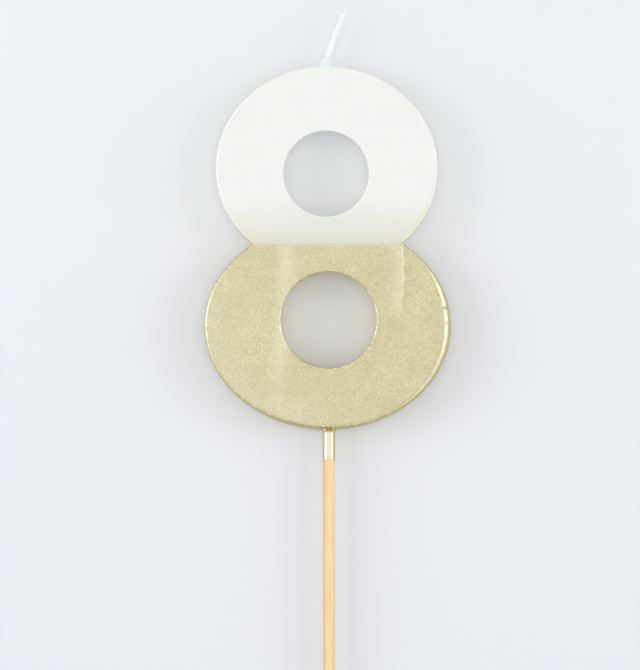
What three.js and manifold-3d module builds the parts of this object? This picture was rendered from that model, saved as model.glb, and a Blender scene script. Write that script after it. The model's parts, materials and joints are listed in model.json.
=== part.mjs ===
// A number birthday candle: a cast wax figure eight on a bamboo stick, with its lower loop dipped in gold.
// Units are millimetres. +Z is up, the face of the numeral looks along -Y, and the origin is the stick's point.

import * as THREE from "three";
import { mergeVertices } from "three/addons/utils/BufferGeometryUtils.js";
import Module from "manifold-3d";

// ---- Driving dimensions ----

// The stick: how much of it shows below the numeral, and how much is cast into the wax.
const STICK_RADIUS = 1.25;
const STICK_SHOWN = 89.8;
const STICK_BURIED = 10.2;
const POINT_LENGTH = 8;
const POINT_RADIUS = 0.25;
const STICK_CHAMFER = 0.3;

// The numeral is two overlapping ovals. Their sizes are those of the back face, which is the larger one.
// x is how far the middle lies from the stick's axis: the stick is set by hand, so the numeral leans a little.
const THICKNESS = 6.5;
const DRAFT = 0.8;
const RIM_RADIUS = 0.35;
const LOWER = { halfWidth: 26.15, halfHeight: 22, x: -0.25 };
const UPPER = { halfWidth: 23.6, halfHeight: 21.6, x: -0.55 };
const LOOP_SPACING = 33.3;

// The two round holes, at the front face. They open a little towards the back.
const LOWER_HOLE = { radius: 10.05, rise: 1.3, x: -0.1 };
const UPPER_HOLE = { radius: 8.95, rise: -1.25, x: -0.6 };
const HOLE_FLARE = 0.3;

// The gold coat is a thin skin that stops on a straight line just below the waist.
const COAT = 0.3;
const DIP_DEPTH = 38.95;
const COAT_ON_STICK = 0.15;
const GOLD_ON_STICK = 6.5;
const BEAD_RADIUS = 1.9;
const BEAD_HEIGHT = 1;

// The wick leans towards +X from the place where it leaves the wax.
const WICK_RADIUS = 0.65;
const WICK_LEAN = THREE.MathUtils.degToRad(20.9);
const WICK_FREE = 9.4;
const WICK_BURIED = 10;
const WICK_ROOT_X = -0.65;
const BEND_X = -0.12;
const BEND_HEIGHT = 2.9;
const COLLAR_BASE_X = -0.85;
const COLLAR_BASE_RADIUS = 1.4;
const COLLAR_TOP_RADIUS = 0.95;

// Clearances between solids that touch on the real candle.
const GAP = 0.3;
const SNUG_GAP = 0.1;

// How finely round shapes are cut.
const OVAL_SIDES = 72;
const HOLE_SIDES = 48;
const STICK_SIDES = 24;
const WICK_SIDES = 12;
const RIM_STEPS = 2;

// ---- Places worked out from them ----

const FRONT = -THICKNESS / 2;
const BACK = THICKNESS / 2;
LOWER.z = STICK_SHOWN + LOWER.halfHeight;
UPPER.z = LOWER.z + LOOP_SPACING;
LOWER_HOLE.z = LOWER.z + LOWER_HOLE.rise;
UPPER_HOLE.z = UPPER.z + UPPER_HOLE.rise;
const DIP_LINE = STICK_SHOWN + DIP_DEPTH;
const UNDERSIDE = STICK_SHOWN + DRAFT / 2;
const WAX_TOP = UPPER.z + UPPER.halfHeight - DRAFT / 2;
const WICK_BEND = new THREE.Vector3(BEND_X, 0, WAX_TOP + BEND_HEIGHT);
const WICK_DIRECTION = new THREE.Vector3(Math.sin(WICK_LEAN), 0, Math.cos(WICK_LEAN));
const COLLAR_TOP = WICK_BEND.clone().addScaledVector(WICK_DIRECTION, -(WICK_RADIUS + GAP));

// ---- Solids ----

const wasm = await Module();
wasm.setup();

// A closed geometry as a solid that can be joined and cut.
function solidFrom(geometry) {
  const bare = geometry.clone();
  bare.deleteAttribute("normal");
  bare.deleteAttribute("uv");
  const merged = mergeVertices(bare, 1e-4);
  return new wasm.Manifold(
    new wasm.Mesh({
      numProp: 3,
      vertProperties: new Float32Array(merged.attributes.position.array),
      triVerts: new Uint32Array(merged.index.array),
    }),
  );
}

// A solid as a geometry with flat faces.
function geometryFrom(solid) {
  const mesh = solid.getMesh();
  const geometry = new THREE.BufferGeometry();
  geometry.setAttribute("position", new THREE.BufferAttribute(mesh.vertProperties, 3));
  geometry.setIndex(new THREE.BufferAttribute(mesh.triVerts, 1));
  const flat = geometry.toNonIndexed();
  flat.computeVertexNormals();
  return flat;
}

// A closed body through a stack of rings, each ring a list of points that runs the same way round.
// The first and last rings are closed by a fan from their middles.
function stackRings(rings) {
  const sides = rings[0].length;
  const points = rings.flat();
  const faces = [];
  for (let level = 0; level + 1 < rings.length; level += 1) {
    for (let side = 0; side < sides; side += 1) {
      const a = level * sides + side;
      const b = level * sides + ((side + 1) % sides);
      faces.push(a, b, b + sides, a, b + sides, a + sides);
    }
  }
  for (const [level, flipped] of [[0, true], [rings.length - 1, false]]) {
    const middle = new THREE.Vector3();
    rings[level].forEach((point) => middle.addScaledVector(point, 1 / sides));
    const centre = points.push(middle) - 1;
    for (let side = 0; side < sides; side += 1) {
      const a = level * sides + side;
      const b = level * sides + ((side + 1) % sides);
      faces.push(centre, flipped ? b : a, flipped ? a : b);
    }
  }
  const geometry = new THREE.BufferGeometry().setFromPoints(points);
  geometry.setIndex(faces);
  return solidFrom(geometry);
}

// A ring of points on an oval in the plane at a depth y, counted so that the ring's faces look outwards.
function ovalRing(halfWidth, halfHeight, y, middle, sides) {
  return Array.from({ length: sides }, (_, index) => {
    const turn = (-2 * Math.PI * index) / sides;
    const x = middle.x + halfWidth * Math.cos(turn);
    const z = middle.z + halfHeight * Math.sin(turn);
    return new THREE.Vector3(x, y, z);
  });
}

// One loop of the numeral, with a drafted wall and rounded rims, made smaller all over by the inset.
function loopSolid(loop, inset) {
  const ring = (y, cut) => {
    const draft = (DRAFT * (BACK - y)) / THICKNESS;
    const less = inset + cut + draft;
    return ovalRing(loop.halfWidth - less, loop.halfHeight - less, y, loop, OVAL_SIDES);
  };
  const rim = Array.from({ length: RIM_STEPS + 1 }, (_, step) => {
    const turn = (step / RIM_STEPS) * (Math.PI / 2);
    return { depth: RIM_RADIUS * (1 - Math.cos(turn)), cut: RIM_RADIUS * (1 - Math.sin(turn)) };
  });
  const front = rim.map(({ depth, cut }) => ring(FRONT + inset + depth, cut));
  const back = rim.map(({ depth, cut }) => ring(BACK - inset - depth, cut)).reverse();
  return stackRings([...front, ...back]);
}

// The plug that cuts a round hole from front to back, wider at the back by the flare.
function holePlug(hole, extra) {
  const beyond = 1;
  const slope = HOLE_FLARE / THICKNESS;
  const ring = (y) => {
    const radius = hole.radius + extra + slope * (y - FRONT);
    return ovalRing(radius, radius, y, hole, HOLE_SIDES);
  };
  return stackRings([ring(FRONT - beyond), ring(BACK + beyond)]);
}

// Everything above a height, as a block larger than the numeral.
function blockAbove(height) {
  const size = 200;
  const block = new THREE.BoxGeometry(size, size, size);
  block.translate(0, 0, height + size / 2);
  return solidFrom(block);
}

// A body turned about the Z axis from a profile of [radius, z] points, from the lowest point up.
function turned(profile, sides) {
  const outline = profile.map(([radius, z]) => new THREE.Vector2(radius, z));
  const geometry = new THREE.LatheGeometry(outline, sides);
  geometry.rotateX(Math.PI / 2);
  return solidFrom(geometry);
}

// A round rod along a curve.
function rodAlong(curve, radius, steps) {
  const section = new THREE.Shape();
  section.absarc(0, 0, radius, 0, 2 * Math.PI, false);
  const options = { extrudePath: curve, steps, curveSegments: WICK_SIDES, bevelEnabled: false };
  return solidFrom(new THREE.ExtrudeGeometry(section, options));
}

// The route of the buried wick: straight up the middle of the wax, then over into the lean of the free end.
function wickRoute(startZ) {
  return new THREE.CubicBezierCurve3(
    new THREE.Vector3(WICK_ROOT_X, 0, startZ),
    new THREE.Vector3(WICK_ROOT_X, 0, WAX_TOP - 2),
    COLLAR_TOP.clone().addScaledVector(WICK_DIRECTION, -1),
    COLLAR_TOP,
  );
}

// ---- The pieces ----

// The small cone of wax that the wick drew up around itself, leaning over with it.
function waxCollar() {
  const base = new THREE.Vector3(COLLAR_BASE_X, 0, WAX_TOP - 0.6);
  const levels = 5;
  const rings = Array.from({ length: levels + 1 }, (_, index) => {
    const share = index / levels;
    const middle = base.clone().lerp(COLLAR_TOP, share);
    const swell = (COLLAR_BASE_RADIUS - COLLAR_TOP_RADIUS) * (1 - share) ** 2;
    const radius = COLLAR_TOP_RADIUS + swell;
    return Array.from({ length: STICK_SIDES }, (_, side) => {
      const turn = (2 * Math.PI * side) / STICK_SIDES;
      return new THREE.Vector3(
        middle.x + radius * Math.cos(turn),
        radius * Math.sin(turn),
        middle.z,
      );
    });
  });
  return stackRings(rings);
}

// The socket that the stick sits in, open at the bottom of the numeral.
function stickSocket() {
  const radius = STICK_RADIUS + SNUG_GAP;
  const top = STICK_SHOWN + STICK_BURIED + GAP;
  return turned([[0, STICK_SHOWN - 5], [radius, STICK_SHOWN - 5], [radius, top], [0, top]], STICK_SIDES);
}

// The channel that the wick sits in, open at the top of the collar.
function wickChannel() {
  const radius = WICK_RADIUS + SNUG_GAP;
  const mouth = new THREE.LineCurve3(
    COLLAR_TOP.clone().addScaledVector(WICK_DIRECTION, -0.5),
    COLLAR_TOP.clone().addScaledVector(WICK_DIRECTION, 2),
  );
  return rodAlong(wickRoute(WAX_TOP - WICK_BURIED - GAP), radius, 10).add(rodAlong(mouth, radius, 1));
}

// The cast numeral. Its lower loop is smaller by the gold coat that covers it.
function waxBody() {
  const under = COAT + GAP;
  const shown = loopSolid(UPPER, 0)
    .add(loopSolid(LOWER, 0))
    .intersect(blockAbove(DIP_LINE + GAP));
  return loopSolid(LOWER, under)
    .add(loopSolid(UPPER, under))
    .add(shown)
    .add(waxCollar())
    .subtract(holePlug(LOWER_HOLE, under))
    .subtract(holePlug(UPPER_HOLE, 0))
    .subtract(stickSocket())
    .subtract(wickChannel());
}

// The gold film round the top of the stick, with the bead that gathered under the numeral.
function goldOnStick() {
  const inner = STICK_RADIUS + SNUG_GAP;
  const outer = inner + COAT_ON_STICK;
  const low = STICK_SHOWN - GOLD_ON_STICK;
  const high = UNDERSIDE + COAT / 2;
  const beadLow = UNDERSIDE - BEAD_HEIGHT;
  return turned(
    [
      [inner, low],
      [outer, low],
      [outer, beadLow],
      [BEAD_RADIUS, beadLow + BEAD_HEIGHT / 2],
      [BEAD_RADIUS, high],
      [inner, high],
      [inner, low],
    ],
    STICK_SIDES,
  );
}

// The dipped skin: front, back, edge and hole of the lower loop up to the dip line, and the stick's top.
function goldCoat() {
  const outside = loopSolid(LOWER, 0).subtract(holePlug(LOWER_HOLE, 0));
  const inside = loopSolid(LOWER, COAT).subtract(holePlug(LOWER_HOLE, COAT));
  return outside
    .subtract(inside)
    .subtract(blockAbove(DIP_LINE))
    .subtract(stickSocket())
    .add(goldOnStick());
}

// The bamboo stick, sharpened at its lower end.
function bambooStick() {
  const top = STICK_SHOWN + STICK_BURIED;
  return turned(
    [
      [0, 0],
      [POINT_RADIUS, 0.15],
      [STICK_RADIUS * 0.8, POINT_LENGTH * 0.7],
      [STICK_RADIUS, POINT_LENGTH],
      [STICK_RADIUS, top - STICK_CHAMFER],
      [STICK_RADIUS - STICK_CHAMFER, top],
      [0, top],
    ],
    STICK_SIDES,
  );
}

// The part of the wick that is cast into the wax.
function buriedWick() {
  return rodAlong(wickRoute(WAX_TOP - WICK_BURIED), WICK_RADIUS, 10);
}

// The free end of the wick: a rod from the bend to the cut end, with a ball at the bend that it turns on.
function freeWick() {
  const profile = [];
  const ballSteps = 4;
  for (let step = 0; step <= ballSteps; step += 1) {
    const turn = (step / ballSteps) * (Math.PI / 2);
    profile.push([WICK_RADIUS * Math.sin(turn), -WICK_RADIUS * Math.cos(turn)]);
  }
  profile.push([WICK_RADIUS, WICK_FREE - 0.15], [WICK_RADIUS - 0.15, WICK_FREE], [0, WICK_FREE]);
  return turned(profile, WICK_SIDES);
}

// ---- The assembly ----

const waxMaterial = new THREE.MeshStandardMaterial({ color: 0xf4f5f1, roughness: 0.45, metalness: 0 });
const goldMaterial = new THREE.MeshStandardMaterial({ color: 0xcfc28a, roughness: 0.45, metalness: 0.8 });
const bambooMaterial = new THREE.MeshStandardMaterial({ color: 0xeecb93, roughness: 0.7, metalness: 0 });
const wickMaterial = new THREE.MeshStandardMaterial({ color: 0xf1f3f6, roughness: 0.8, metalness: 0 });

function piece(name, solid, material) {
  const mesh = new THREE.Mesh(geometryFrom(solid), material);
  mesh.name = name;
  return mesh;
}

const candle = new THREE.Group();
candle.add(piece("wax_body", waxBody(), waxMaterial));
candle.add(piece("gold_coat", goldCoat(), goldMaterial));
candle.add(piece("bamboo_stick", bambooStick(), bambooMaterial));
candle.add(piece("wick_core", buriedWick(), wickMaterial));

// The free wick is made standing up at the origin, and its group leans it over at the bend.
const wickAtBend = new THREE.Group();
wickAtBend.position.copy(WICK_BEND);
wickAtBend.rotation.y = WICK_LEAN;
wickAtBend.add(piece("wick_free_end", freeWick(), wickMaterial));
candle.add(wickAtBend);

export default candle;
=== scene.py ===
"""A number birthday candle: a cast wax figure eight with a gold-dipped lower loop, a stick and a wick.

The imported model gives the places, and this add-on makes the surfaces and finishes that are seen.
Lengths are in metres. +Z is up, and the face of the numeral looks along -Y.
"""

import json
import math

import bmesh
import bpy
import numpy as np
from bpy.props import FloatProperty, FloatVectorProperty, PointerProperty
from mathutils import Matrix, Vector


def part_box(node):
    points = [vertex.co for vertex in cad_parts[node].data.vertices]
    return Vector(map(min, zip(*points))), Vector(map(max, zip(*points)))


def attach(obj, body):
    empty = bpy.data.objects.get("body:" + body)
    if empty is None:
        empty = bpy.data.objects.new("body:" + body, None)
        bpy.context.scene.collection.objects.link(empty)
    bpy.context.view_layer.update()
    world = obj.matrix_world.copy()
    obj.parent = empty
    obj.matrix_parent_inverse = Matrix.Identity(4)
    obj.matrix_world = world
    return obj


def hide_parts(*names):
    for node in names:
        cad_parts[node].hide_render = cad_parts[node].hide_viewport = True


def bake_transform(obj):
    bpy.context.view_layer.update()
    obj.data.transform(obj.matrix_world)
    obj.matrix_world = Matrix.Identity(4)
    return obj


bl_info = {
    "name": "Number candle",
    "version": (1, 0, 0),
    "blender": (4, 5, 0),
    "location": "3D View > Sidebar > Candle",
    "description": "Makes a wax numeral, its gold dip, a bamboo stick and a wick round the packed model",
    "category": "Add Mesh",
}

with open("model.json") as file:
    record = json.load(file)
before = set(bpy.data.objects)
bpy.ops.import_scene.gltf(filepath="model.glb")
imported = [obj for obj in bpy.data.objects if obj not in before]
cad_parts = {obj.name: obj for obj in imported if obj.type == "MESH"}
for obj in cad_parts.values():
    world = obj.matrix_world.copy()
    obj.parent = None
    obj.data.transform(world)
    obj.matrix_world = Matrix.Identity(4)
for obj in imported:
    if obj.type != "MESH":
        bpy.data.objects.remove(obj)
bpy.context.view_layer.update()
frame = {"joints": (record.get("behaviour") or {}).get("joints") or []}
MM = 0.001
FULL_TURN = 2 * math.pi

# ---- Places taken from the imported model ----

GOLD_LOW, GOLD_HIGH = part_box("gold_coat")
STICK_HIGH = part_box("bamboo_stick")[1]
CORE_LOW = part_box("wick_core")[0]
FRONT = GOLD_LOW.y
BACK = GOLD_HIGH.y
DIP_LINE = GOLD_HIGH.z
BEND = Vector(frame["joints"][0]["pos_m"])


def linear(red, green, blue):
    """A display colour, 0 to 255, as the linear colour that a shader takes."""
    shares = np.array([red, green, blue]) / 255
    return tuple(np.where(shares <= 0.04045, shares / 12.92, ((shares + 0.055) / 1.055) ** 2.4))


# ---- Sizes and colours that a user may change ----


def length(name, description, millimetres):
    """A length property whose default is given in millimetres."""
    return FloatProperty(
        name=name, description=description, default=millimetres * MM, unit="LENGTH", precision=5
    )


def colour(name, description, red, green, blue):
    """A colour property whose default is given as a display colour, 0 to 255."""
    return FloatVectorProperty(
        name=name, description=description, default=linear(red, green, blue), subtype="COLOR", min=0, max=1
    )


class CandleSizes(bpy.types.PropertyGroup):
    """Sizes of the numeral, the dip, the stick and the wick."""

    lower_width: length("Lower half width", "Half the lower loop's width at the back face", 26.15)
    lower_height: length("Lower half height", "Half the lower loop's height at the back face", 22.0)
    lower_x: length("Lower offset", "Lower loop's middle from the stick's axis, to the right", -0.25)
    upper_width: length("Upper half width", "Half the upper loop's width at the back face", 23.6)
    upper_height: length("Upper half height", "Half the upper loop's height at the back face", 21.6)
    upper_x: length("Upper offset", "Upper loop's middle from the stick's axis, to the right", -0.55)
    spacing: length("Loop spacing", "Height from the lower loop's middle to the upper loop's", 33.3)
    dip_rise: length("Dip rise", "Height of the dip line over the lower loop's middle", 16.95)
    lower_hole: length("Lower hole radius", "Radius of the lower hole at the front face", 10.05)
    lower_hole_x: length("Lower hole offset", "Lower hole's middle from the stick's axis", -0.1)
    lower_hole_rise: length("Lower hole rise", "Lower hole's middle over its loop's middle", 1.3)
    upper_hole: length("Upper hole radius", "Radius of the upper hole at the front face", 8.95)
    upper_hole_x: length("Upper hole offset", "Upper hole's middle from the stick's axis", -0.6)
    upper_hole_drop: length("Upper hole drop", "Upper hole's middle under its loop's middle", 1.25)
    flare: length("Hole flare", "How much wider each hole is at the back than at the front, a side", 0.3)
    back_rim: length("Back rim", "Radius of the rounded edges at the back face", 0.35)
    hole_rim: length("Hole rim", "Radius of the rounded edges of the holes", 0.25)
    coat: length("Coat thickness", "Thickness of the gold skin on the wax", 0.15)
    film: length("Film thickness", "Thickness of the gold film on the stick", 0.04)
    bead: length("Bead height", "How far the bead under the numeral stands out from the stick", 0.22)
    wick_radius: length("Wick radius", "Radius of the waxed wick", 0.65)
    collar_radius: length("Collar radius", "Radius of the wax cone where it leaves the numeral", 2.0)


class CandleColours(bpy.types.PropertyGroup):
    """Colours of the candle's finishes and of the stage."""

    wax: colour("Wax", "Bare wax, away from the dip line", 233, 233, 228)
    wax_tint: colour("Tinted wax", "Wax just over the dip line, stained by the gold", 212, 205, 178)
    # Painted light: the brighter colour painted on the thin outer edge of the wax, standing in for light
    # through it.
    painted_rim_light: colour("Wax rim", "The thin outer edge of the wax", 252, 252, 249)
    wax_edge: colour("Tinted edge", "Edge of the wax where gold mist settled", 220, 221, 172)
    gold: colour("Gold", "The dip coat's main colour", 219, 212, 176)
    gold_dark: colour("Gold, dark grains", "The coat between its brighter grains", 187, 180, 137)
    gold_pale: colour("Gold, pale", "Streaks where the coat pooled as it drained", 236, 230, 206)
    gold_wall: colour("Gold, sides", "The thinner coat on the numeral's sides", 212, 192, 124)
    # Darkened, this colour is also painted as shade under the low rim and in the bead at the joint.
    gold_warm: colour("Gold, warm", "The coat's thin edge at the back and in the bead", 212, 172, 80)
    # Painted highlight: the bright colour painted on the gold rim and in flecks in the bead at the joint.
    painted_glint: colour("Glint", "Polished specks and ridge on the gold rim", 251, 242, 210)
    film: colour("Gold film", "The smooth film on the stick", 229, 221, 193)
    bamboo: colour("Bamboo", "The stick's main colour", 247, 218, 170)
    # Also painted as shade down the stick's left side.
    bamboo_fibre_and_shade: colour("Bamboo fibre", "Darker fibres along the stick", 222, 178, 116)
    wick: colour("Wick", "Waxed cotton", 234, 237, 241)
    paper: colour("Floor", "Paper on the floor", 236, 237, 239)
    # The backdrop's glow is painted light, which lifts the shadows on the paper; its colours and glow
    # change with height.
    screen_low: colour("Backdrop, low", "Paper behind the lower loop, without its glow", 220, 221, 224)
    screen_high: colour("Backdrop, high", "Paper behind the upper loop, without its glow", 198, 199, 200)
    glow_low: colour("Glow, low", "Light through the paper behind the lower loop", 64, 65, 66)
    glow_high: colour("Glow, high", "Light through the paper behind the upper loop", 131, 132, 132)


# ---- Meshes ----


def added(name, data):
    """A new object that holds the data, in the scene."""
    made = bpy.data.objects.new(name, data)
    bpy.context.scene.collection.objects.link(made)
    return made


def mesh_object(name, points, faces, sharp_angle, material, share=None):
    """A closed mesh with its faces turned outwards and its edges sharp past an angle.

    share is kept as a point attribute of that name, for the material.
    """
    mesh = bpy.data.meshes.new(name)
    mesh.from_pydata(points.tolist(), [], faces)
    if share is not None:
        values = mesh.attributes.new("share", "FLOAT", "POINT").data
        values.foreach_set("value", share.astype(np.float32))
    work = bmesh.new()
    work.from_mesh(mesh)
    bmesh.ops.recalc_face_normals(work, faces=work.faces)
    work.to_mesh(mesh)
    work.free()
    mesh.shade_smooth()
    mesh.set_sharp_from_angle(angle=math.radians(sharp_angle))
    mesh.materials.append(material)
    return added(name, mesh)


def steps_to(start, end, count):
    """Even steps from start, the last of them one step short of end."""
    return np.linspace(start, end, count, endpoint=False)


def grid_faces(rows, columns):
    """Four-sided faces of a tube of rows by columns points, counted row by row, open at both ends."""
    row, column = np.meshgrid(np.arange(rows - 1), np.arange(columns), indexing="ij")
    beside = (column + 1) % columns
    corners = [row * columns + column, row * columns + beside]
    corners += [(row + 1) * columns + beside, (row + 1) * columns + column]
    return np.stack(corners, axis=-1)


def capped_tube(grid):
    """Points and faces of a tube of (rows, columns, 3) points, closed by a fan at each end."""
    rows, columns = grid.shape[:2]
    around = np.arange(columns)
    following = (around + 1) % columns
    last = (rows - 1) * columns
    start_fan = np.stack([following, around, np.full(columns, rows * columns)], axis=-1)
    end_fan = np.stack([last + around, last + following, np.full(columns, rows * columns + 1)], axis=-1)
    middles = np.stack([grid[0].mean(axis=0), grid[-1].mean(axis=0)])
    points = np.concatenate([grid.reshape(-1, 3), middles])
    quads = grid_faces(rows, columns).reshape(-1, 4)
    return points, quads.tolist() + start_fan.tolist() + end_fan.tolist()


def ripple(x, z, seed):
    """A gentle, repeatable unevenness, about -1 to 1: a sum of slanted sine waves of unlike lengths.

    The waves are 4 to 35 mm long, and the shorter ones are weaker.
    """
    slow, fast, count = 180, 1500, 9
    draw = np.random.default_rng(seed)
    rates, slants = draw.uniform(slow, fast, count), draw.uniform(0, math.pi, count)
    waves = zip(rates, slants, draw.uniform(0, FULL_TURN, count))
    total = sum(np.sin(w * (x * np.cos(a) + z * np.sin(a)) + p) * (slow / w) ** 0.5 for w, a, p in waves)
    return total / 4


# ---- The two loops of the numeral ----

# Direction round the loop in degrees, then the draft and the front rim's width there in millimetres.
# Draft is how much wider the loop is at the back than at the front.
LOWER_EDGE = (
    (-150, 0.55, 0.25),
    (-120, 0.8, 0.25),
    (-90, 0.85, 0.25),
    (-62, 0.55, 0.3),
    (-42, 0.6, 0.4),
    (-22, 0.78, 0.72),
    (5, 0.82, 0.9),
    (20, 0.55, 0.6),
    (32, 0.32, 0.32),
    (48, 0.25, 0.25),
    (90, 0.3, 0.25),
    (135, 0.3, 0.3),
    (180, 0.35, 0.38),
)
UPPER_EDGE = (
    (-120, 0.24, 0.3),
    (-45, 0.15, 0.75),
    (-15, 0.25, 0.6),
    (20, 0.35, 0.45),
    (120, 0.35, 0.45),
    (180, 0.4, 0.4),
)
# How deep the front rim is, as a share of its width.
LOWER_RIM_SLOPE = 0.7
UPPER_RIM_SLOPE = 0.45
# Two small chips in the lower loop's right rim: their heights, half their length, and the share of the
# rim's width that is left out there.
CHIP_HEIGHTS = (114.7 * MM, 111.5 * MM)
CHIP_REACH = 0.22 * MM
CHIP_DEPTH = 0.5


def round_the_loop(table, column, turn):
    """A column of an edge table at each turn, blended from row to row and softened over a few degrees."""
    rows = np.array(table)
    degrees = np.degrees(turn)
    nearby = [np.interp(degrees + off, rows[:, 0], rows[:, column], period=360) for off in range(-8, 9, 4)]
    return np.mean(nearby, axis=0) * MM


class Loop:
    """One loop of the numeral: an oval with a round hole, cut straight across at the dip line.

    Its outline runs from one end of the cut round the oval to the other end, and back along the cut.
    """

    CUT_COUNT = 48
    LEDGE_COUNT = 3

    def __init__(self, sizes, upper):
        self.sizes = sizes
        self.upper = upper
        self.low_z = DIP_LINE - sizes.dip_rise
        self.high_z = self.low_z + sizes.spacing
        self.edge = UPPER_EDGE if upper else LOWER_EDGE
        self.rim_slope = UPPER_RIM_SLOPE if upper else LOWER_RIM_SLOPE
        self.hole_radius = sizes.upper_hole if upper else sizes.lower_hole
        self.hole_x = sizes.upper_hole_x if upper else sizes.lower_hole_x
        self.hole_z = self.high_z - sizes.upper_hole_drop if upper else self.low_z + sizes.lower_hole_rise

    def oval(self, upper, less):
        """Half width, half height and middle of an oval made smaller all round by less."""
        s = self.sizes
        if upper:
            return s.upper_width - less, s.upper_height - less, s.upper_x, self.high_z
        return s.lower_width - less, s.lower_height - less, s.lower_x, self.low_z

    def crossing(self, less, side):
        """Angles on the lower and on the upper oval of the point where they cross on one side (1 or -1).

        A point of the lower oval at an angle is inside the upper oval where its offset from that oval's
        middle, divided by its half sizes, is shorter than 1. The crossing is found by halving.
        """
        wide_l, tall_l, x_l, z_l = self.oval(False, less)
        wide_u, tall_u, x_u, z_u = self.oval(True, less)
        low, high = np.zeros_like(less), np.full_like(less, math.pi / 2)
        for _ in range(30):
            turn = (low + high) / 2
            x, z = x_l + side * wide_l * np.cos(turn), z_l + tall_l * np.sin(turn)
            inside = ((x - x_u) / wide_u) ** 2 + ((z - z_u) / tall_u) ** 2 < 1
            low, high = np.where(inside, low, turn), np.where(inside, turn, high)
        x, z = x_l + side * wide_l * np.cos(low), z_l + tall_l * np.sin(low)
        return low, np.arctan2((z - z_u) / tall_u, side * (x - x_u) / wide_u)

    def outline(self, less, count):
        """(x, z) of the outline, for insets less given by row and by column.

        On an oval a point is (middle + half width x cosine, middle + half height x sine) of an angle that
        grows evenly; on the cut it moves evenly from side to side at the dip line's height.
        """
        wide, tall, middle_x, middle_z = self.oval(False, less)
        corner = np.arcsin((DIP_LINE - middle_z) / tall)
        z_cut = DIP_LINE + 0 * less[:, -self.CUT_COUNT :]
        half_cut = (wide * np.cos(corner))[:, -self.CUT_COUNT :]
        across = steps_to(-1, 1, self.CUT_COUNT)
        share = steps_to(0, 1, count)
        if not self.upper:
            around = slice(0, count)
            turn = (math.pi - corner[:, around]) + share * (math.pi + 2 * corner[:, around])
            x = middle_x + wide[:, around] * np.cos(turn)
            z = middle_z + tall[:, around] * np.sin(turn)
            x_cut = middle_x - across * half_cut
            return np.hstack([x, x_cut]), np.hstack([z, z_cut])
        ledge = self.LEDGE_COUNT
        right, around = slice(0, ledge), slice(ledge, ledge + count)
        left = slice(ledge + count, -len(across))
        climb = steps_to(0, 1, ledge)
        rise_right, notch_right = self.crossing(less, 1)
        rise_left, notch_left = self.crossing(less, -1)
        turn_right = corner[:, right] + climb * (rise_right - corner)[:, right]
        turn_left = math.pi - rise_left[:, left] + climb * (rise_left - corner)[:, left]
        start, end = notch_right[:, around], math.pi - notch_left[:, around]
        turn = start + share * (end - start)
        top_wide, top_tall, top_x, top_z = self.oval(True, less[:, around])
        x = [middle_x + wide[:, right] * np.cos(turn_right), top_x + top_wide * np.cos(turn)]
        x += [middle_x + wide[:, left] * np.cos(turn_left), middle_x + across * half_cut]
        z = [middle_z + tall[:, right] * np.sin(turn_right), top_z + top_tall * np.sin(turn)]
        z += [middle_z + tall[:, left] * np.sin(turn_left), z_cut]
        return np.hstack(x), np.hstack(z)

    def hole_turns(self, count):
        """The angles round the hole that face the outline's points, even between the corners."""
        if not self.upper:
            turns = [steps_to(136, 404, count), steps_to(44, 136, self.CUT_COUNT)]
        else:
            turns = [steps_to(-55, -51, self.LEDGE_COUNT), steps_to(-51, 231, count)]
            turns += [steps_to(231, 235, self.LEDGE_COUNT), steps_to(235, 305, self.CUT_COUNT)]
        return np.radians(np.concatenate(turns))

    def section(self, face_count):
        """The closed section that is carried round the loop, as rows of numbers.

        It runs out over the front face, round the front rim, along the wall, round the back rim, in over
        the back face and through the hole. Each row holds: share (0 on the hole's wall, 1 on the outer
        edge), depth (0 front, 1 back), front and back (how far down that rim it is, 0 to 1), and cut_front
        and cut_back (how much of that rim's width is still cut off).
        """
        turn = np.linspace(0, math.pi / 2, 8)
        wall = np.linspace(0, 1, 12)[1:-1]
        face = np.linspace(0, 1, face_count)
        # A rim half way between a straight bevel and a quarter circle.
        down = 0.5 * (1 - np.cos(turn)) + 0.5 * turn / turn[-1]
        left = 0.5 * (1 - np.sin(turn)) + 0.5 * (1 - turn / turn[-1])
        zero, one = np.zeros, np.ones
        n, w, t = face_count, len(wall), len(turn) - 1
        parts = [
            (face, zero(n), zero(n), zero(n), one(n), zero(n)),
            (one(t), zero(t), down[1:], zero(t), left[1:], zero(t)),
            (one(w), wall, one(w), one(w), zero(w), zero(w)),
            (one(t), one(t), one(t), down[::-1][:-1], zero(t), left[::-1][:-1]),
            (face[::-1], one(n), zero(n), zero(n), zero(n), one(n)),
            (zero(t), one(t), zero(t), down[1:], zero(t), left[1:]),
            (zero(w), wall[::-1], one(w), one(w), zero(w), zero(w)),
            (zero(t), zero(t), down[::-1][:-1], zero(t), left[::-1][:-1], zero(t)),
        ]
        self.open_rows = (n - 1, n - 1 + 2 * t + w + 1)
        return [np.concatenate(column)[:, None] for column in zip(*parts)]

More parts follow.
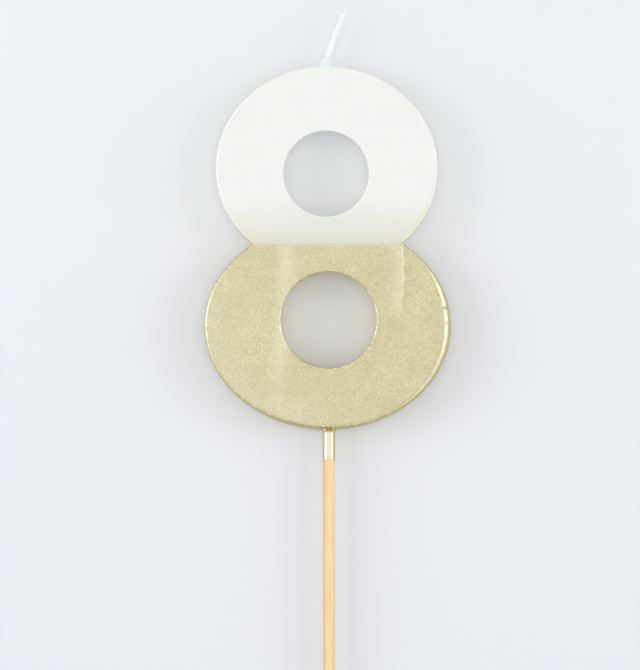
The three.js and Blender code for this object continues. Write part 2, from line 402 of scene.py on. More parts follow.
    def surface(self, inset, count, face_count, uneven=0.0):
        """The loop's surface as points and faces, left open on the cut, with the rim of that opening.

        A point lies between the hole's circle and the outline by its section's share, which is kept as its
        fourth number. The opening's rim is listed from its left front corner, the same way round for both
        loops. uneven is how far the front face and its rim wander.
        """
        s = self.sizes
        share, depth, front, back, cut_front, cut_back = self.section(face_count)
        columns = len(self.hole_turns(count))
        plain_x, plain_z = self.outline(np.zeros((1, columns)), count)
        _, _, middle_x, middle_z = self.oval(self.upper, 0)
        direction = np.arctan2(plain_z - middle_z, plain_x - middle_x)
        draft = round_the_loop(self.edge, 1, direction)
        rim = round_the_loop(self.edge, 2, direction)
        if uneven:
            rim = rim * (1 + 0.16 * ripple(plain_x * 4, plain_z * 4, 5))
            chips = sum(np.exp(-(((plain_z - at) / CHIP_REACH) ** 2)) for at in CHIP_HEIGHTS)
            rim = rim * (1 - CHIP_DEPTH * chips * (plain_x > middle_x))
        outer = share > 0.5
        rim_depth = np.where(outer, self.rim_slope * rim, s.hole_rim)
        back_depth = np.where(outer, s.back_rim, s.hole_rim)
        thickness = BACK - FRONT
        room = thickness - 2 * inset - front * rim_depth - back * back_depth
        y = FRONT + inset + front * rim_depth + depth * room
        less = inset + cut_front * rim + cut_back * s.back_rim + draft * (BACK - y) / thickness
        more = inset + (cut_front + cut_back) * s.hole_rim + s.flare * (y - FRONT) / thickness
        x_out, z_out = self.outline(less, count)
        turns = self.hole_turns(count)
        x_in = self.hole_x + (self.hole_radius + more) * np.cos(turns)
        z_in = self.hole_z + (self.hole_radius + more) * np.sin(turns)
        x = (1 - share) * x_in + share * x_out
        z = (1 - share) * z_in + share * z_out
        y = y - uneven * ripple(x, z, 11) * (1 - depth)
        grid = np.stack([x, y, z, share + 0 * x], axis=-1)
        rows = len(share)
        opening_start = columns - self.CUT_COUNT
        low, high = self.open_rows
        faces = grid_faces(rows + 1, columns) % (rows * columns)
        row, column = np.meshgrid(np.arange(rows), np.arange(columns), indexing="ij")
        kept = ~((column >= opening_start) & (row >= low) & (row < high))
        along = np.append(np.arange(opening_start, columns), 0)
        if not self.upper:
            along = along[::-1]
        through = np.arange(low, high + 1)
        rim_rows = [np.full(len(along) - 1, low), through[:-1]]
        rim_rows += [np.full(len(along) - 1, high), through[:0:-1]]
        rim_columns = [along[:-1], np.full(len(through) - 1, along[-1])]
        rim_columns += [along[:0:-1], np.full(len(through) - 1, along[0])]
        opening = np.concatenate(rim_rows) * columns + np.concatenate(rim_columns)
        return grid.reshape(-1, 4), faces[kept], opening


def joined(first, second):
    """Two open surfaces made one, with a band between the rims of their openings.

    Gives points, faces and the points' shares.
    """
    points_a, faces_a, rim_a = first
    points_b, faces_b, rim_b = second
    offset = len(points_a)
    rim_b = rim_b + offset
    band = np.stack([rim_a, np.roll(rim_a, -1), np.roll(rim_b, -1), rim_b], axis=-1)
    points = np.concatenate([points_a, points_b])
    faces = np.concatenate([faces_a, faces_b + offset, band])
    used, places = np.unique(faces, return_inverse=True)
    return points[used, :3], places.reshape(faces.shape).tolist(), points[used, 3]


# ---- Materials ----


def new_material(name):
    """A material with only its output and a Principled shader, as (material, tree, shader)."""
    material = bpy.data.materials.new(name)
    material.use_nodes = True
    tree = material.node_tree
    shader = next(node for node in tree.nodes if node.type == "BSDF_PRINCIPLED")
    return material, tree, shader


def fill(tree, made, inputs):
    """Fills a node's inputs: one that is given a socket is linked, and any other gets the value.

    An input is given by its name, or as i and its number.
    """
    for label, value in inputs.items():
        socket = made.inputs[int(label[1:])] if label[1:].isdigit() else made.inputs[label]
        if isinstance(value, bpy.types.NodeSocket):
            tree.links.new(value, socket)
        else:
            socket.default_value = value


def node(tree, kind, settings=None, **inputs):
    """A node with its settings and its inputs filled."""
    made = tree.nodes.new(kind)
    for label, value in (settings or {}).items():
        setattr(made, label, value)
    fill(tree, made, inputs)
    return made


def place(tree, stretch=(1, 1, 1)):
    """Object coordinates, stretched along each axis."""
    where = node(tree, "ShaderNodeTexCoord").outputs["Object"]
    return node(tree, "ShaderNodeMapping", Vector=where, Scale=stretch).outputs[0]


def parts_of(tree, output="Object"):
    """The three numbers of the shaded point's place, or of its normal when output is Normal."""
    where = node(tree, "ShaderNodeTexCoord").outputs[output]
    return node(tree, "ShaderNodeSeparateXYZ", Vector=where).outputs


def noise(tree, scale, detail=2, roughness=0.5, stretch=(1, 1, 1)):
    """A noise from 0 to 1, in object coordinates stretched along each axis."""
    where = place(tree, stretch)
    made = node(tree, "ShaderNodeTexNoise", Vector=where, Scale=scale, Detail=detail, Roughness=roughness)
    return made.outputs["Fac"]


def spread(tree, value, low, high, to_low=0.0, to_high=1.0, smooth=False):
    """A value brought from one range to another, and kept inside it."""
    settings = {"interpolation_type": "SMOOTHSTEP" if smooth else "LINEAR", "clamp": True}
    made = node(tree, "ShaderNodeMapRange", settings, i0=value, i1=low, i2=high, i3=to_low, i4=to_high)
    return made.outputs[0]


def falling(tree, value, low, high, smooth=False):
    """1 while a value is under low, falling to 0 at high."""
    return spread(tree, value, low, high, 1.0, 0.0, smooth)


def vary(tree, pattern, least, most):
    """A range that a noise pattern sweeps through, given its usual swing of 0.3 to 0.7."""
    return spread(tree, pattern, 0.3, 0.7, least, most)


def maths(tree, operation, first, second=0.0):
    """One operation on one or two values."""
    return node(tree, "ShaderNodeMath", {"operation": operation}, i0=first, i1=second).outputs[0]


def product(tree, *values):
    """All the values multiplied together."""
    total = values[0]
    for value in values[1:]:
        total = maths(tree, "MULTIPLY", total, value)
    return total


def mix(tree, share, first, second):
    """Two colours mixed by a share."""
    first, second = (c if isinstance(c, bpy.types.NodeSocket) else (*c, 1) for c in (first, second))
    made = node(tree, "ShaderNodeMix", {"data_type": "RGBA"}, i0=share, i6=first, i7=second)
    return made.outputs[2]


def scaled(shade, factor):
    """A constant colour made darker or brighter."""
    return [part * factor for part in shade]


def facing_front(tree):
    """How squarely the surface faces the front: 1 on the front face, 0 on a wall and -1 on the back."""
    return maths(tree, "MULTIPLY", parts_of(tree, "Normal")[1], -1.0)


def bump(tree, value, strength, distance, under=None):
    """A bump from a value, laid over another bump."""
    made = node(tree, "ShaderNodeBump", Height=value, Strength=strength, Distance=distance)
    if under is not None:
        tree.links.new(under, made.inputs["Normal"])
    return made.outputs[0]


# Where the finishes change, from start to end: across (to the right of the stick's axis), up (in height)
# or over (in height over the dip line).
SHADE_BETWEEN_HOLES_ACROSS = (3 * MM, 16 * MM)
SHADE_BETWEEN_HOLES_OVER = (5 * MM, 12 * MM)
MIST_ACROSS = (9 * MM, 15 * MM)
MIST_OVER = (5 * MM, 15 * MM)
LIT_ACROSS = (-6 * MM, 6 * MM)
COLLAR_UP = (BEND.z - 3.5 * MM, BEND.z - 2.0 * MM)
DRIFT_UP = (92 * MM, 114 * MM)
PALE_ACROSS = (-26 * MM, -14 * MM)
LOW_PALE_ACROSS = (-14 * MM, 2 * MM)
LOW_PALE_UP = (92 * MM, 106 * MM)
SIDE_DEPTH = (0.5 * MM, 2.6 * MM)
UNDERSIDE_SHADE_UP = (96 * MM, 108 * MM)
POLISH_AND_HIGHLIGHT_ACROSS = (12 * MM, 19 * MM)
NOTCH_UP = (119 * MM, 125 * MM)
GLOW_UP = (DIP_LINE - 8 * MM, DIP_LINE + 8 * MM)
# The gold's stain on the wax over the dip line: how far up it goes, its strength, and whether it eases off.
VEILS = ((10.7 * MM, 0.44, True), (3.0 * MM, 0.3, False), (0.7 * MM, 0.26, False))


def wax_material(colours):
    """White wax: soft, faintly mottled, and stained towards the dip line.

    Gold mist lies on its right edge, and outside of it the thin rim is painted brighter, a painted light
    that stands in for light coming through the wax.
    """
    material, tree, shader = new_material("white_wax")
    across, _, up = parts_of(tree)
    over_line = maths(tree, "SUBTRACT", up, DIP_LINE)
    veils = [spread(tree, over_line, 0.0, reach, most, 0.0, eased) for reach, most, eased in VEILS]
    veil = maths(tree, "ADD", maths(tree, "ADD", veils[0], veils[1]), veils[2])
    mottle = noise(tree, 260, 3)
    shade = mix(tree, spread(tree, mottle, 0.35, 0.65), scaled(colours.wax, 0.985), colours.wax)
    shade = mix(tree, veil, shade, colours.wax_tint)
    # Painted shade: the narrow part between the holes is darkened a little.
    shade_between_holes = product(
        tree,
        spread(tree, maths(tree, "ABSOLUTE", across), *SHADE_BETWEEN_HOLES_ACROSS, 0.24, 0.08, smooth=True),
        spread(tree, over_line, 0.4 * MM, 1.2 * MM),
        falling(tree, over_line, *SHADE_BETWEEN_HOLES_OVER, smooth=True),
    )
    shade = mix(tree, shade_between_holes, shade, scaled(colours.wax, 0.8))
    # Mist on the inner half of the rim and on the face beside it, low on the right.
    share = node(tree, "ShaderNodeAttribute", {"attribute_name": "share"}).outputs["Fac"]
    facing = facing_front(tree)
    on_rim = product(tree, spread(tree, facing, 0.92, 0.95), falling(tree, facing, 0.985, 0.998))
    by_rim = product(tree, spread(tree, share, 0.92, 1.0, 0.0, 0.25), spread(tree, facing, 0.9, 0.98))
    mist = product(
        tree,
        maths(tree, "MAXIMUM", on_rim, by_rim),
        spread(tree, across, *MIST_ACROSS, smooth=True),
        falling(tree, over_line, *MIST_OVER, smooth=True),
        0.7,
    )
    shade = mix(tree, mist, shade, colours.wax_edge)
    # Painted light: the thin outer edge is painted brighter, standing in for light that comes through it,
    # more so on the right.
    edge = product(
        tree,
        spread(tree, share, 0.97, 0.99),
        spread(tree, facing, 0.1, 0.4),
        falling(tree, facing, 0.86, 0.93),
        spread(tree, over_line, 0.5 * MM, 2.0 * MM),
        spread(tree, across, *LIT_ACROSS, 0.15, 0.5),
    )
    shade = mix(tree, edge, shade, colours.painted_rim_light)
    # The collar takes on the wick's colour as it rises.
    shade = mix(tree, spread(tree, up, *COLLAR_UP), shade, colours.wick)
    soft = bump(tree, noise(tree, 120), 0.2, 0.2 * MM)
    fill(tree, shader, {
        "Base Color": shade,
        "Roughness": vary(tree, noise(tree, 700), 0.45, 0.58),
        "Specular IOR Level": 0.3,
        "Subsurface Weight": 0.35,
        "Subsurface Radius": (1.0, 0.85, 0.7),
        "Subsurface Scale": 1.2 * MM,
        "Normal": bump(tree, noise(tree, 1800, 3), 0.1, 0.02 * MM, soft),
    })
    return material


# The pale runs under the dip line: middle, softness to its left and right, length, strength, and whether it
# drifts left lower down.
RUNS = (
    (-9.2 * MM, 3.2 * MM, 3.6 * MM, 38 * MM, 0.31, True),
    (15.3 * MM, 3.6 * MM, 0.5 * MM, 19 * MM, 0.34, False),
    (15.5 * MM, 0.45 * MM, 0.3 * MM, 14 * MM, 0.6, False),
)


def runs(tree):
    """Share of pale coat in the upright runs: bands about a wavering middle, which fade lower down."""
    across, _, up = parts_of(tree)
    wander = 0.3 * MM
    waver = vary(tree, noise(tree, 420, 3, stretch=(0.15, 0.15, 1)), -wander, wander)
    fray = vary(tree, noise(tree, 1500, 3), -wander, wander)
    waver = maths(tree, "ADD", waver, fray)
    drift = spread(tree, up, *DRIFT_UP, 2.6 * MM, 0.0)
    total = 0.0
    for middle, soft, hard, length_down, strength, drifts in RUNS:
        offset = maths(tree, "SUBTRACT", maths(tree, "ADD", across, waver), middle)
        if drifts:
            offset = maths(tree, "ADD", offset, drift)
        left = spread(tree, offset, -soft, 0.0, smooth=True)
        right = falling(tree, offset, 0.0, hard, smooth=True)
        fade = spread(tree, up, DIP_LINE - length_down, DIP_LINE - 0.5 * length_down, smooth=True)
        total = maths(tree, "MAXIMUM", product(tree, left, right, fade, strength), total)
    return total


def gold_material(colours):
    """Matt gold paint with a fine grain: paler in runs, with a painted highlight on its front rim and
    painted shade under its low rim, and warmer on its sides.
    """
    material, tree, shader = new_material("gold_dip")
    across, deep, up = parts_of(tree)
    facing = facing_front(tree)
    grain = noise(tree, 3000)
    patches = noise(tree, 150, 3)
    shade = mix(tree, spread(tree, grain, 0.26, 0.74), colours.gold_dark, colours.gold)
    shade = mix(tree, spread(tree, patches, 0.38, 0.66, 0.0, 0.45), shade, colours.gold_dark)
    # Pale flecks, and a paler left and lower left.
    flecks = spread(tree, noise(tree, 4200, 1), 0.68, 0.76)
    shade = mix(tree, product(tree, flecks, 0.6), shade, colours.gold_pale)
    shade = mix(tree, spread(tree, across, *PALE_ACROSS, 0.14, 0.0), shade, colours.gold_pale)
    low_left = product(
        tree,
        spread(tree, across, *LOW_PALE_ACROSS, 0.22, 0.0),
        falling(tree, up, *LOW_PALE_UP),
    )
    shade = mix(tree, low_left, shade, colours.gold_pale)
    shade = mix(tree, runs(tree), shade, colours.gold_pale)
    # The dip line is ragged, and the coat is thin there.
    under_line = maths(tree, "SUBTRACT", DIP_LINE, up)
    ragged = maths(tree, "ADD", under_line, vary(tree, grain, -0.25 * MM, 0.25 * MM))
    shade = mix(tree, spread(tree, ragged, 0.0, 0.35 * MM, 0.6, 0.0), shade, colours.wax_tint)
    # The sides are thinly covered, and warm where the coat ends in a thin edge at the back.
    flat = maths(tree, "ABSOLUTE", facing)
    on_side = falling(tree, flat, 0.2, 0.5)
    side = mix(tree, spread(tree, deep, *SIDE_DEPTH), colours.gold_wall, colours.gold_warm)
    side = mix(tree, spread(tree, patches, 0.35, 0.7, 0.0, 0.6), side, colours.gold)
    shade = mix(tree, product(tree, on_side, 0.95), shade, side)
    # Painted shade: low on the loop, the part of the rim that faces down is darkened.
    underside_shade = product(tree, spread(tree, facing, 0.25, 0.4), falling(tree, facing, 0.6, 0.78))
    underside_shade = product(tree, underside_shade, spread(tree, up, *UNDERSIDE_SHADE_UP, 0.7, 0.0))
    shade = mix(tree, underside_shade, shade, scaled(colours.gold_warm, 0.5))
    # The rim is polished, smoother and less metallic, and carries a painted highlight: all along on the
    # right, in specks elsewhere, and less by the notches.
    on_rim = product(tree, spread(tree, facing, 0.62, 0.76), falling(tree, facing, 0.97, 0.992))
    specks = spread(tree, noise(tree, 1300), 0.48, 0.62, 0.1, 1.0)
    on_right = spread(tree, across, *POLISH_AND_HIGHLIGHT_ACROSS)
    on_right = maths(tree, "MULTIPLY", on_right, spread(tree, specks, 0.0, 1.0, 0.6, 1.0))
    by_notch = spread(tree, up, *NOTCH_UP)
    fade = spread(tree, by_notch, 0.0, 1.0, 1.0, 0.45)
    polish_and_highlight = product(tree, on_rim, maths(tree, "MAXIMUM", specks, on_right), fade)
    shade = mix(tree, product(tree, polish_and_highlight, 0.9), shade, colours.painted_glint)
    # By the notches the outer part of the rim is a warm line.
    line = product(tree, spread(tree, facing, 0.4, 0.6), falling(tree, facing, 0.8, 0.95))
    shade = mix(tree, product(tree, line, by_notch, 0.6), shade, colours.gold_warm)
    metal = spread(tree, flat, 0.3, 0.7, 0.3, 0.75)
    rough = vary(tree, noise(tree, 900), 0.42, 0.56)
    flakes = node(tree, "ShaderNodeTexVoronoi", Vector=place(tree), Scale=4200).outputs["Distance"]
    lumps = bump(tree, patches, 0.25, 0.1 * MM)
    fill(tree, shader, {
        "Base Color": shade,
        "Metallic": maths(tree, "SUBTRACT", metal, product(tree, polish_and_highlight, 0.4)),
        "Roughness": maths(tree, "SUBTRACT", rough, product(tree, polish_and_highlight, 0.1)),
        "Normal": bump(tree, flakes, 0.3, 0.03 * MM, lumps),
    })
    return material


def film_material(colours, joint_z):
    """Smooth bright gold film, faintly lined along the stick, with painted shade on its sides, and painted
    shade and painted glints in the bead at the joint.
    """
    material, tree, shader = new_material("gold_film")
    up = parts_of(tree)[2]
    lines = noise(tree, 2600, 3, 0.7, stretch=(1, 1, 0.03))
    shade = mix(tree, spread(tree, lines, 0.4, 0.7), colours.film, scaled(colours.film, 0.84))
    # Painted shade: the film is darkened towards its sides, where they turn from the front, standing in for
    # the darker surroundings they reflect.
    shade = mix(tree, spread(tree, facing_front(tree), 0.4, 0.8, 0.75, 0.0), shade, colours.gold_wall)
    # Painted shade and painted highlights: the bead at the joint is darkened, with bright flecks.
    flecks = spread(tree, noise(tree, 1500), 0.5, 0.62)
    bead = mix(tree, flecks, scaled(colours.gold_warm, 0.6), colours.painted_glint)
    at_joint = spread(tree, up, joint_z - 0.4 * MM, joint_z - 0.25 * MM)
    rough = vary(tree, lines, 0.38, 0.48)
    fill(tree, shader, {
        "Base Color": mix(tree, at_joint, shade, bead),
        "Metallic": spread(tree, at_joint, 0.0, 1.0, 0.85, 0.5),
        "Roughness": maths(tree, "ADD", rough, product(tree, at_joint, 0.1)),
        "Normal": bump(tree, lines, 0.3, 0.03 * MM),
    })
    return material


def bamboo_material(colours):
    """Bare bamboo: pale, with long fibres, and painted shade down its left side."""
    material, tree, shader = new_material("bamboo")
    across = parts_of(tree)[0]
    fibres = noise(tree, 3000, 4, 0.7, stretch=(1, 1, 0.02))
    clouds = noise(tree, 500, stretch=(1, 1, 0.1))
    shade = mix(tree, spread(tree, fibres, 0.42, 0.75, 0.0, 0.6), colours.bamboo, colours.bamboo_fibre_and_shade)
    shade = mix(tree, spread(tree, clouds, 0.45, 0.7, 0.0, 0.3), shade, colours.bamboo_fibre_and_shade)
    # Painted shade: the stick is darkened down its left side.
    shade = mix(tree, spread(tree, across, -1.2 * MM, -0.2 * MM, 0.8, 0.0), shade, colours.bamboo_fibre_and_shade)
    fill(tree, shader, {
        "Base Color": shade,
        "Roughness": vary(tree, fibres, 0.45, 0.65),
        "Normal": bump(tree, fibres, 0.4, 0.03 * MM),
    })
    return material


def wick_material(colours):
    """Cotton soaked in wax: white, and a little see-through."""
    material, tree, shader = new_material("waxed_cotton")
    threads = noise(tree, 1500, 3, stretch=(1, 1, 0.3))
    fill(tree, shader, {
        "Base Color": mix(tree, spread(tree, threads, 0.35, 0.7), colours.wick, scaled(colours.wick, 0.95)),
        "Roughness": vary(tree, threads, 0.45, 0.6),
        "Subsurface Weight": 0.7,
        "Subsurface Radius": (1.0, 0.95, 0.9),
        "Subsurface Scale": 1.0 * MM,
        "Normal": bump(tree, threads, 0.15, 0.02 * MM),
    })
    return material


def paper_material(name):
    """Plain matt paper, with its shader set up except for the colour."""
    material, tree, shader = new_material(name)
    fill(tree, shader, {"Roughness": 0.9, "Specular IOR Level": 0.1})
    return material, tree, shader


def floor_material(colours):
    """White paper on the floor."""
    material, _, shader = paper_material("floor_paper")
    shader.inputs["Base Color"].default_value = (*colours.paper, 1)
    return material


def backdrop_material(colours):
    """Paper with a painted glow, stronger higher up, that isn't there when it is met from behind."""
    material, tree, shader = paper_material("backdrop_paper")
    higher = spread(tree, parts_of(tree)[2], *GLOW_UP, smooth=True)
    # Painted light: the paper glows, more so higher up, which lifts its shadows.
    fill(tree, shader, {
        "Base Color": mix(tree, higher, colours.screen_low, colours.screen_high),
        "Emission Color": mix(tree, higher, colours.glow_low, colours.glow_high),
        "Emission Strength": 1.0,
    })
    behind = node(tree, "ShaderNodeNewGeometry").outputs["Backfacing"]
    clear = node(tree, "ShaderNodeBsdfTransparent").outputs[0]
    either = node(tree, "ShaderNodeMixShader", i0=behind, i1=shader.outputs[0], i2=clear)
    output = next(n for n in tree.nodes if n.type == "OUTPUT_MATERIAL")
    tree.links.new(either.outputs[0], output.inputs["Surface"])
    return material


# ---- The pieces ----


def choices(context):
    """The sizes and the colours that are set."""
    return context.scene.candle_sizes, context.scene.candle_colours


class CANDLE_OT_wax_numeral(bpy.types.Operator):
    """The cast wax: the bare upper loop, and the lower loop's core under the gold skin"""

    bl_idname = "candle.wax_numeral"
    bl_label = "Wax numeral"

    def execute(self, context):
        sizes, colours = choices(context)
        upper = Loop(sizes, upper=True).surface(0, 320, 30)
        core = Loop(sizes, upper=False).surface(sizes.coat, 90, 6)
        points, faces, share = joined(upper, core)
        wax = mesh_object("wax_numeral", points, faces, 40, wax_material(colours), share)
        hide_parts("wax_body")
        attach(wax, "candle")
        return {"FINISHED"}


class CANDLE_OT_gold_skin(bpy.types.Operator):
    """The dipped gold skin over the lower loop, a closed shell that ends on the dip line"""

    bl_idname = "candle.gold_skin"
    bl_label = "Gold skin"

    def execute(self, context):
        sizes, colours = choices(context)
        loop = Loop(sizes, upper=False)
        outside = loop.surface(0, 480, 26, uneven=0.02 * MM)
        inside = loop.surface(sizes.coat * 0.8, 90, 6)
        points, faces, share = joined(outside, inside)
        skin = mesh_object("gold_skin", points, faces, 40, gold_material(colours), share)
        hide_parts("gold_coat")
        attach(skin, "candle")
        return {"FINISHED"}


class CANDLE_OT_gold_film(bpy.types.Operator):
    """The gold film round the top of the stick, and the bead where the stick enters the numeral"""

    bl_idname = "candle.gold_film"
    bl_label = "Gold film on the stick"

    def execute(self, context):
        sizes, colours = choices(context)
        stick, low = STICK_HIGH.x, GOLD_LOW.z
        joint = DIP_LINE - sizes.dip_rise - sizes.lower_height + 0.3 * MM
        # How far the film stands out from the stick, and its height, from its lower edge up into the wax.
        profile = np.array([
            [0.0, low],
            [sizes.film, low + 0.05 * MM],
            [sizes.film, low + 3 * MM],
            [sizes.film, joint - 0.6 * MM],
            [0.5 * sizes.bead, joint - 0.4 * MM],
            [0.9 * sizes.bead, joint - 0.2 * MM],
            [sizes.bead, joint],
            [0.9 * sizes.bead, joint + 0.2 * MM],
            [1.6 * sizes.bead, joint + 0.5 * MM],
            [1.8 * sizes.bead, joint + 1.2 * MM],
        ])
        at = np.arange(len(profile))
        steps = np.linspace(0, len(profile) - 1, 90)
        radius = stick + np.interp(steps, at, profile[:, 0])
        level = np.interp(steps, at, profile[:, 1])
        turn = steps_to(0, FULL_TURN, 64)
        # The lower edge arches up over the front, and wavers a little round the stick.
        arch = -0.4 * MM * np.sin(turn) + 0.06 * MM * np.sin(3 * turn + 1)
        level_at = joint - 2 * MM
        hold = np.clip((level_at - level) / (level_at - low), 0, 1)[:, None]
        z = level[:, None] + hold * arch
        outer = np.stack([radius[:, None] * np.cos(turn), radius[:, None] * np.sin(turn), z], axis=-1)
        inner = outer[::-1].copy()
        inner[..., :2] *= (stick * 0.985 / radius[::-1])[:, None, None]
        grid = np.concatenate([outer, inner])
        rows, columns = grid.shape[:2]
        faces = (grid_faces(rows + 1, columns) % (rows * columns)).reshape(-1, 4).tolist()
        film = mesh_object("gold_film", grid.reshape(-1, 3), faces, 60, film_material(colours, joint))
        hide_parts("gold_coat")
        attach(film, "candle")
        return {"FINISHED"}


class CANDLE_OT_bamboo_stick(bpy.types.Operator):
    """The bamboo stick, split-fibred along its length and sharpened at the bottom"""

    bl_idname = "candle.bamboo_stick"
    bl_label = "Bamboo stick"

    def execute(self, context):
        radius, top = STICK_HIGH.x, STICK_HIGH.z
        tip, chamfer = 8 * MM, 0.3 * MM
        turn = steps_to(0, FULL_TURN, 72)
        body = np.linspace(tip, top - chamfer, 170)
        z = np.concatenate([np.linspace(0, tip, 40)[:-1], body, [top - 0.5 * chamfer, top]])
        point = np.interp(z, [0, 0.2 * MM, 0.7 * tip, tip], [0.1, 0.2, 0.8, 1.0])
        end = np.interp(z, [top - chamfer, top], [1.0, 0.8])
        # The fibres are three sine waves round the stick, twisting slowly as they rise.
        rise = z[:, None] / MM
        fibres = 0.012 * np.sin(23 * turn + 0.04 * rise) + 0.008 * np.sin(37 * turn - 0.025 * rise)
        fibres = fibres + 0.01 * np.sin(5 * turn + 0.06 * rise)
        around = radius * (point * end)[:, None] * (0.985 + 0.5 * fibres)
        grid = np.stack([around * np.cos(turn), around * np.sin(turn), z[:, None] + 0 * around], axis=-1)
        bamboo = bamboo_material(context.scene.candle_colours)
        stick = mesh_object("bamboo_pick", *capped_tube(grid), 50, bamboo)
        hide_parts("bamboo_stick")
        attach(stick, "candle")
        return {"FINISHED"}


WICK_STEPS = 420
# The wick's middle line above its root: x from the stick's axis, and height over the bend.
WICK_PLACES = (
    (-0.66, -5.0),
    (-0.72, -3.4),
    (-0.64, -1.9),
    (-0.33, -0.7),
    (0.18, 0.8),
    (0.68, 2.2),
    (1.16, 3.5),
    (1.62, 4.8),
    (2.14, 6.05),
    (2.70, 7.3),
    (3.25, 8.55),
    (3.36, 8.8),
)


def wick_line():
    """(x, z) of the wick's middle line, up from inside the wax: a Catmull-Rom curve through its places."""
    places = np.array([(x * MM, BEND.z + z * MM) for x, z in WICK_PLACES])
    places = np.concatenate([[[places[0, 0], CORE_LOW.z]], places])
    before, after = 2 * places[0] - places[1], 2 * places[-1] - places[-2]
    held = np.concatenate([[before], places, [after]])
    at = np.linspace(0, len(places) - 1 - 1e-9, WICK_STEPS)
    span = at.astype(int)
    t = (at - span)[:, None]
    a, b, c, d = (held[span + k] for k in range(4))
    curve = 2 * b + (c - a) * t + (2 * a - 5 * b + 4 * c - d) * t**2 + (3 * b - a - 3 * c + d) * t**3
    return curve[:, 0] / 2, curve[:, 1] / 2


class CANDLE_OT_wick(bpy.types.Operator):
    """The braided wick, from inside the wax to its cut end, in one piece that bends at its root"""

    bl_idname = "candle.wick"
    bl_label = "Wick"

    def execute(self, context):
        sizes, colours = choices(context)
        x, z = wick_line()
        slope = np.stack([np.gradient(x), np.gradient(z)], axis=-1)
        slope /= np.linalg.norm(slope, axis=1, keepdims=True)
        along = np.concatenate([[0], np.cumsum(np.hypot(np.diff(x), np.diff(z)))])
        turn = steps_to(0, FULL_TURN, 48)
        # The braid's bumps, where strands that wind both ways cross.
        pitch = FULL_TURN / (2.6 * MM)
        over = np.cos(4 * turn + pitch * along[:, None]) * np.cos(4 * turn - pitch * along[:, None])
        # Thicker with wax just over the collar, and thinner towards the cut end.
        swell = np.interp(z - BEND.z, np.array([-0.7, 1.0, 2.5, 9.0]) * MM, [1.2, 1.14, 1.04, 0.95])
        radius = sizes.wick_radius * swell[:, None] * (1 + 0.02 * over)
        ends = np.minimum(along, along[-1] - along)[:, None] / (0.12 * MM)
        radius = radius * np.sqrt(np.clip(ends, 0.5, 1))
        # A circle square to the middle line, at every point of it.
        side_x = slope[:, 1][:, None] * np.cos(turn) * radius
        side_z = -slope[:, 0][:, None] * np.cos(turn) * radius
        grid = np.stack([x[:, None] + side_x, np.sin(turn) * radius, z[:, None] + side_z], axis=-1)
        wick = mesh_object("wick", *capped_tube(grid), 70, wick_material(colours))
        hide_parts("wick_core", "wick_free_end")
        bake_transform(wick)
        return {"FINISHED"}


class CANDLE_OT_wick_collar(bpy.types.Operator):
    """The small leaning cone of wax that the wick drew up round its root"""

    bl_idname = "candle.wick_collar"
    bl_label = "Wax collar round the wick"

    def execute(self, context):
        sizes, colours = choices(context)
        top_z = BEND.z - 0.5 * MM
        base_z = DIP_LINE - sizes.dip_rise + sizes.spacing + sizes.upper_height - 0.35 * MM
        share = np.linspace(0, 1, 40)
        thin = sizes.wick_radius * 1.2 + 0.05 * MM
        radius = thin + (sizes.collar_radius - thin) * (1 - share) ** 1.5
        z = base_z + share * (top_z - base_z)
        line_x, line_z = wick_line()
        middle = np.interp(z, line_z, line_x) - 0.16 * MM * (1 - share)
        # A skirt is sunk in the numeral below, and the edge above is turned in on the wick.
        radius = np.concatenate([[2.2 * MM], radius, [thin - 0.14 * MM]])
        z = np.concatenate([[base_z - 0.5 * MM], z, [top_z + 0.06 * MM]])
        middle = np.concatenate([middle[:1], middle, middle[-1:] + 0.02 * MM])
        turn = steps_to(0, FULL_TURN, 56)
        x = middle[:, None] + radius[:, None] * np.cos(turn)
        grid = np.stack([x, radius[:, None] * np.sin(turn), z[:, None] + 0 * x], axis=-1)
        wax = bpy.data.materials.get("white_wax") or wax_material(colours)
        collar = mesh_object("wick_collar", *capped_tube(grid), 70, wax)
        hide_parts("wax_body")
        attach(collar, "candle")
        return {"FINISHED"}


# ---- The stage ----

# Each lamp's name, place, width and height in metres, and power in watts.
LAMPS = (
    ("left_light", (-0.8, -0.42, 0.16), (0.6, 0.6), 4.3),
    ("right_light", (0.8, -0.42, 0.14), (0.6, 0.6), 3.6),
    ("front_light", (0.0, -1.1, 0.2), (0.8, 0.4), 1.6),
)
LIGHT_AIM = Vector((0, 0, 125 * MM))
# The sheets reach this far, and the backdrop stands this far behind the numeral.
FAR = 3.0
BACKDROP_GAP = 0.6 * MM
# The room's colour, and its brightness in front of the numeral and behind it.
ROOM_COLOUR = (0.95, 0.97, 1.0, 1)
ROOM_BRIGHTNESS = (0.72, 0.48)
# The camera's place, its lens and sensor in millimetres, and the height that it sees at the numeral's face.
CAMERA_X = -1.89 * MM
CAMERA_HEIGHT = 109.95 * MM
LENS = 155
SENSOR = 36
SEEN_HEIGHT = 140.7 * MM


def plane(name, corners, material):
    """A flat sheet with four corners, which isn't part of the candle."""
    mesh = bpy.data.meshes.new(name)
    mesh.from_pydata(corners, [], [(0, 1, 2, 3)])
    mesh.materials.append(material)
    sheet = added(name, mesh)
    return sheet


def soft_light(name, place_at, size, power):
    """A large rectangular lamp at a place, aimed at the numeral."""
    lamp = bpy.data.lights.new(name, "AREA")
    lamp.shape = "RECTANGLE"
    lamp.size, lamp.size_y = size
    lamp.energy = power
    light = added(name, lamp)
    light.location = place_at
    light.rotation_euler = (LIGHT_AIM - Vector(place_at)).to_track_quat("-Z", "Y").to_euler()


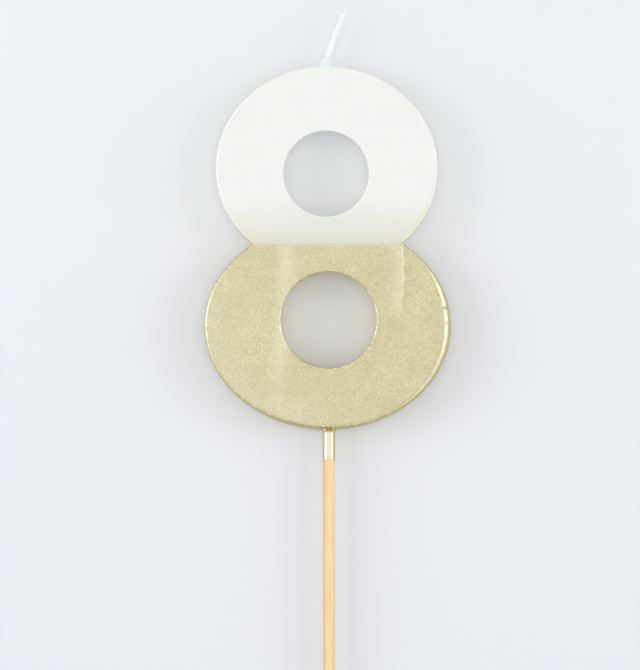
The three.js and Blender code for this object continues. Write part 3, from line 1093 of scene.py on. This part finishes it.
class CANDLE_OT_stage(bpy.types.Operator):
    """A pale floor and backdrop, soft lights, and a camera looking at the numeral's face"""

    bl_idname = "candle.stage"
    bl_label = "Stage"

    def execute(self, context):
        scene, colours = context.scene, context.scene.candle_colours
        floor = [(-FAR, -FAR, 0), (FAR, -FAR, 0), (FAR, FAR, 0), (-FAR, FAR, 0)]
        plane("floor", floor, floor_material(colours))
        depth = BACK + BACKDROP_GAP
        wall = [(-FAR, depth, -FAR), (FAR, depth, -FAR), (FAR, depth, FAR), (-FAR, depth, FAR)]
        backdrop = plane("backdrop", wall, backdrop_material(colours))
        # The camera sees the backdrop, and the candle neither reflects it nor is shaded by it.
        for kind in ("shadow", "diffuse", "glossy", "transmission"):
            setattr(backdrop, f"visible_{kind}", False)
        # The room is bright on the side that the numeral faces, and dimmer behind it.
        world = bpy.data.worlds.new("room")
        world.use_nodes = True
        tree = world.node_tree
        behind = parts_of(tree, "Generated")[1]
        strength = spread(tree, behind, -0.6, 0.7, *ROOM_BRIGHTNESS)
        fill(tree, tree.nodes["Background"], {"Color": ROOM_COLOUR, "Strength": strength})
        scene.world = world
        for lamp in LAMPS:
            soft_light(*lamp)
        camera = bpy.data.cameras.new("camera")
        camera.sensor_width = SENSOR
        camera.lens = LENS
        view = added("camera", camera)
        view.location = (CAMERA_X, FRONT - SEEN_HEIGHT * LENS / SENSOR, CAMERA_HEIGHT)
        view.rotation_euler = (math.pi / 2, 0, 0)
        scene.camera = view
        scene.view_settings.view_transform = "Standard"
        return {"FINISHED"}


# ---- The add-on ----


class CANDLE_PT_panel(bpy.types.Panel):
    """Lists the candle's pieces"""

    bl_idname = "CANDLE_PT_panel"
    bl_label = "Number candle"
    bl_space_type = "VIEW_3D"
    bl_region_type = "UI"
    bl_category = "Candle"

    def draw(self, context):
        for operator in PIECES:
            self.layout.operator(operator.bl_idname)
        for group in (context.scene.candle_sizes, context.scene.candle_colours):
            box = self.layout.box()
            for label in group.__annotations__:
                box.prop(group, label)


PIECES = (
    CANDLE_OT_stage,
    CANDLE_OT_wax_numeral,
    CANDLE_OT_gold_skin,
    CANDLE_OT_gold_film,
    CANDLE_OT_bamboo_stick,
    CANDLE_OT_wick,
    CANDLE_OT_wick_collar,
)
CLASSES = (CandleSizes, CandleColours, *PIECES, CANDLE_PT_panel)


def register():
    for each in CLASSES:
        bpy.utils.register_class(each)
    bpy.types.Scene.candle_sizes = PointerProperty(type=CandleSizes)
    bpy.types.Scene.candle_colours = PointerProperty(type=CandleColours)


def unregister():
    del bpy.types.Scene.candle_colours
    del bpy.types.Scene.candle_sizes
    for each in reversed(CLASSES):
        bpy.utils.unregister_class(each)


def main():
    """Makes the stage and every piece."""
    register()
    bpy.ops.candle.stage()
    bpy.ops.candle.wax_numeral()
    bpy.ops.candle.gold_skin()
    bpy.ops.candle.gold_film()
    bpy.ops.candle.bamboo_stick()
    bpy.ops.candle.wick()
    bpy.ops.candle.wick_collar()


if __name__ == "__main__":
    main()
